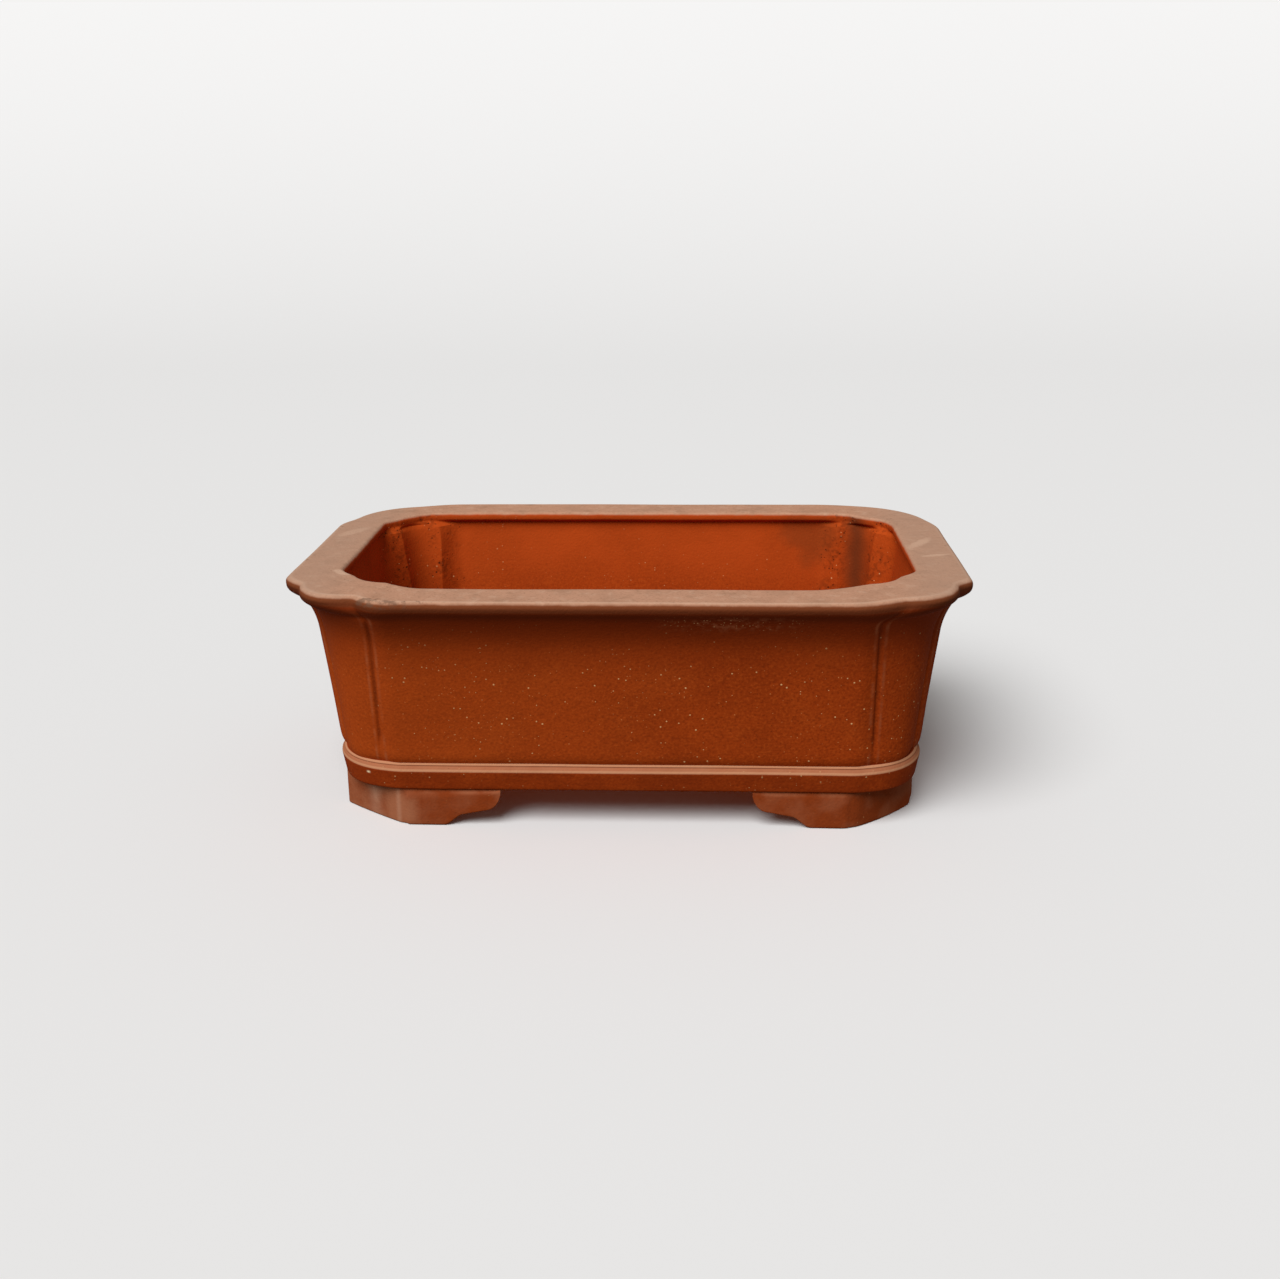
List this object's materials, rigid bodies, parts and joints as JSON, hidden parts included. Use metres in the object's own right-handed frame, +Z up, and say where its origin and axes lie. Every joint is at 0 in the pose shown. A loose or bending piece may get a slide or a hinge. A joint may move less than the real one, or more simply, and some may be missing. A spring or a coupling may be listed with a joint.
{
  "type": "bonsai pot",
  "caption": "Rectangular unglazed stoneware bonsai pot with leaning walls, rounded staves at the corners, a broad flared rim, a moulded base band and cloud-cut corner feet.",
  "frame": {"origin": "middle of the footprint, on the surface that the feet stand on", "axes": "+X along the pot's length, to the right seen from the front; +Y towards the back; +Z up"},
  "size_m": [0.2, 0.124, 0.073],
  "materials": {
    "wall_clay": "unglazed red-brown stoneware, matt, with fine pale grog specks",
    "floor_clay": "unglazed red-brown stoneware, matt, scraped inside and rougher underneath",
    "rim_clay": "unglazed stoneware burnished flat, taupe brown with a dusty bloom",
    "band_clay": "unglazed red-brown stoneware with a rubbed top edge",
    "foot_clay": "unglazed stoneware, duller and dustier than the walls"
  },
  "bodies": {
    "root": {"floor_slab": "floor_clay", "wall_front": "wall_clay", "wall_back": "wall_clay", "wall_left": "wall_clay", "wall_right": "wall_clay", "corner_stave_front_left": "wall_clay", "corner_stave_front_right": "wall_clay", "corner_stave_back_left": "wall_clay", "corner_stave_back_right": "wall_clay", "rim_front": "rim_clay", "rim_back": "rim_clay", "rim_left": "rim_clay", "rim_right": "rim_clay", "band_front": "band_clay", "band_back": "band_clay", "band_left": "band_clay", "band_right": "band_clay", "foot_front_left": "foot_clay", "foot_front_right": "foot_clay", "foot_back_left": "foot_clay", "foot_back_right": "foot_clay"}
  },
  "joints": []
}
